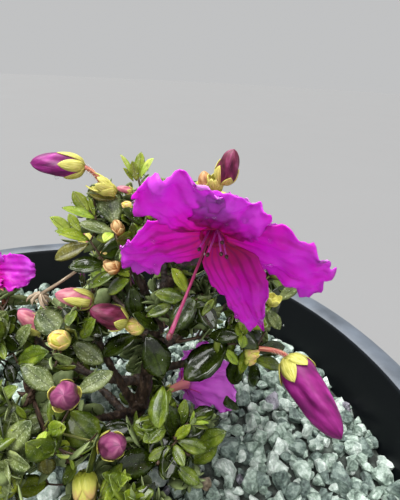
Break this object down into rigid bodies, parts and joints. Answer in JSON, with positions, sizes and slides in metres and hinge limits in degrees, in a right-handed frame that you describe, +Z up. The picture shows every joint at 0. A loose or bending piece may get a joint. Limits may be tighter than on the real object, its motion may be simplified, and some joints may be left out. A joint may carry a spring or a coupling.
{
  "type": "potted dwarf rhododendron",
  "caption": "Dwarf evergreen rhododendron with small leaves, buds and open purple flowers, planted off centre in grit in a round black nursery pot with a rolled rim.",
  "frame": {"origin": "on the pot's axis, in the plane of the flat foot ring that it stands on", "axes": "+Z up, -Y towards the viewer of the picture, +X to the viewer's right"},
  "size_m": [0.326, 0.326, 0.3535],
  "materials": {
    "pot_plastic": "black moulded plastic with a satin sheen on the rim",
    "potting_mix": "damp dark bark and peat",
    "grit": "damp crushed grey-green stone",
    "bark": "rough dark brown bark",
    "foliage": "wet glossy dark green leaves",
    "young_foliage": "bright yellow-green young leaves",
    "petals": "vivid magenta-purple petals with darker veins",
    "buds": "plum and magenta furled buds",
    "bud_scales": "yellow-green sepals and bud scales",
    "withered": "dry straw-brown stalk and seed head",
    "water": "clear rain drops"
  },
  "bodies": {
    "root": {"pot": "pot_plastic", "potting_mix": "potting_mix", "grit_layer": "grit", "main_stem": "bark", "bough_upper_left": "bark", "bough_back_top": "bark", "bough_left": "bark", "bough_far_left": "bark", "bough_left_back": "bark", "bough_left_low": "bark", "bough_front_left": "bark", "bough_front_low": "bark", "bough_front_right": "bark", "bough_centre": "bark", "bough_right": "bark", "bough_right_back": "bark", "bough_back": "bark", "bough_low_back": "bark", "crown_top": "foliage", "crown_upper_left": "foliage", "crown_back_top": "foliage", "crown_left": "foliage", "crown_far_left": "foliage", "crown_left_back": "foliage", "crown_left_low": "foliage", "crown_front_left": "foliage", "crown_front_low": "foliage", "crown_front_right": "foliage", "crown_centre": "foliage", "crown_right": "foliage", "crown_right_back": "foliage", "crown_back": "foliage", "crown_low_back": "foliage"}
  },
  "joints": []
}
